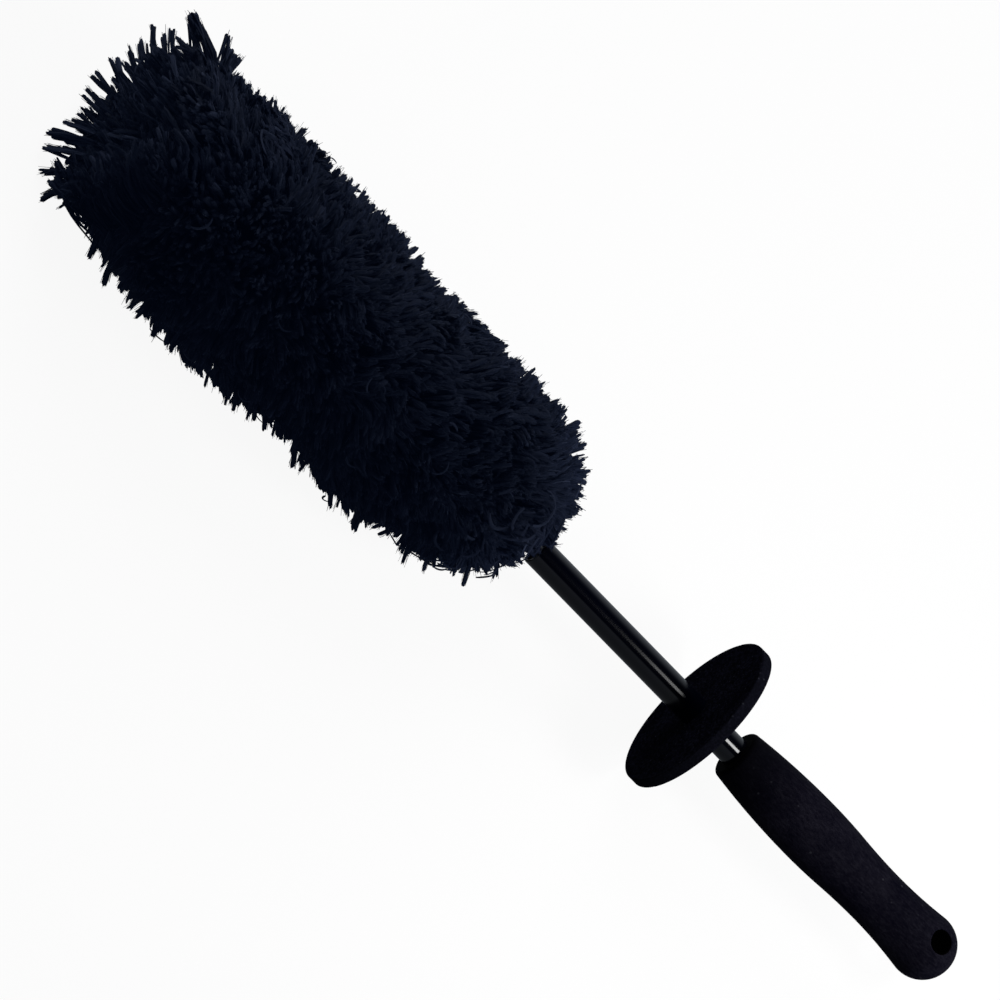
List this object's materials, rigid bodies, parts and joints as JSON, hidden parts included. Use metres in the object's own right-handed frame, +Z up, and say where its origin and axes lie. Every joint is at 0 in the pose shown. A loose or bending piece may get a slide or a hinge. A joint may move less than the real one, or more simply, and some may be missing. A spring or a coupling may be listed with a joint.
{
  "type": "wheel brush",
  "caption": "Long-reach wheel brush with a thick dark yarn pile, a slim glossy shaft, a round splash guard and a waisted foam grip with a hanging hole.",
  "frame": {"origin": "middle of the length, on the surface that the brush lies on", "axes": "+X along the brush from the pile's tip to the grip's end, +Z up and along the hanging hole"},
  "size_m": [0.505, 0.094, 0.084],
  "materials": {
    "pile": "matte",
    "core_wire": "satin",
    "tip_cap": "matte",
    "insert": "satin",
    "shaft": "gloss",
    "guard_foam": "matte",
    "grip_foam": "matte"
  },
  "bodies": {
    "brush": {"pile_tip": "pile", "pile_body": "pile", "pile_rear": "pile", "core_wire_a": "core_wire", "core_wire_b": "core_wire", "tip_cap": "tip_cap", "mouth_bush": "insert", "wire_anchor": "insert", "shaft_tube": "shaft", "tube_end_plug": "insert", "grip_foam": "grip_foam"},
    "guard": {"guard_disc": "guard_foam"}
  },
  "joints": [
    {"name": "guard_slide", "type": "slide", "parent": "brush", "child": "guard", "axis": [1, 0, 0], "range_m": [-0.08, 0.0186]}
  ]
}
